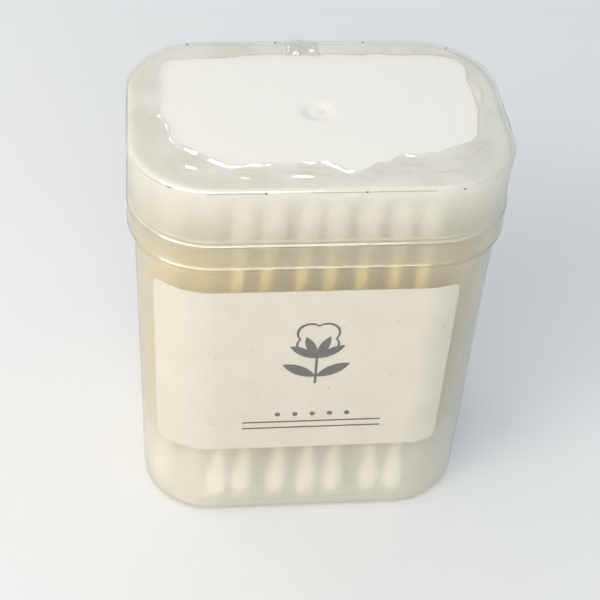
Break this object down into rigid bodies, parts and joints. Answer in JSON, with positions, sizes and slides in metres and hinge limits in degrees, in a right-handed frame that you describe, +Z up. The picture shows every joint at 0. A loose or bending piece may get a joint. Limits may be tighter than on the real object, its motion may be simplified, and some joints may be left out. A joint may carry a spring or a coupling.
{
  "type": "cotton swab box",
  "caption": "Frosted plastic box of cotton swabs with a push-on lid that lifts straight off, a paper label and a clear shrink film slit along the lid's rim.",
  "frame": {"origin": "centre of the foot rim, on the surface that the box stands on", "axes": "+Z up, the way the lid lifts; +X to the right and -Y to the front, where the label is"},
  "size_m": [0.066, 0.0446, 0.0823],
  "materials": {
    "frosted_plastic": "milky translucent polypropylene, smooth and faintly glossy",
    "label_paper": "smooth cream label paper",
    "label_ink": "flat dark grey-brown print",
    "shrink_film": "clear glossy shrink film with fine wrinkles",
    "stick_wood": "plain turned wood",
    "cotton": "wound white cotton"
  },
  "bodies": {
    "base": {"base": "frosted_plastic", "label": "label_paper", "label_print": "label_ink", "film_sleeve": "shrink_film", "sticks_row_1": "stick_wood", "sticks_row_2": "stick_wood", "sticks_row_3": "stick_wood", "sticks_row_4": "stick_wood", "sticks_row_5": "stick_wood", "sticks_row_6": "stick_wood", "sticks_row_7": "stick_wood", "sticks_row_8": "stick_wood", "cotton_row_1": "cotton", "cotton_row_2": "cotton", "cotton_row_3": "cotton", "cotton_row_4": "cotton", "cotton_row_5": "cotton", "cotton_row_6": "cotton", "cotton_row_7": "cotton", "cotton_row_8": "cotton"},
    "lid": {"lid": "frosted_plastic", "film_cap": "shrink_film"}
  },
  "joints": [
    {"name": "lid_lift", "type": "slide", "parent": "base", "child": "lid", "axis": [0, 0, 1], "range_m": [0, 0.03]}
  ]
}
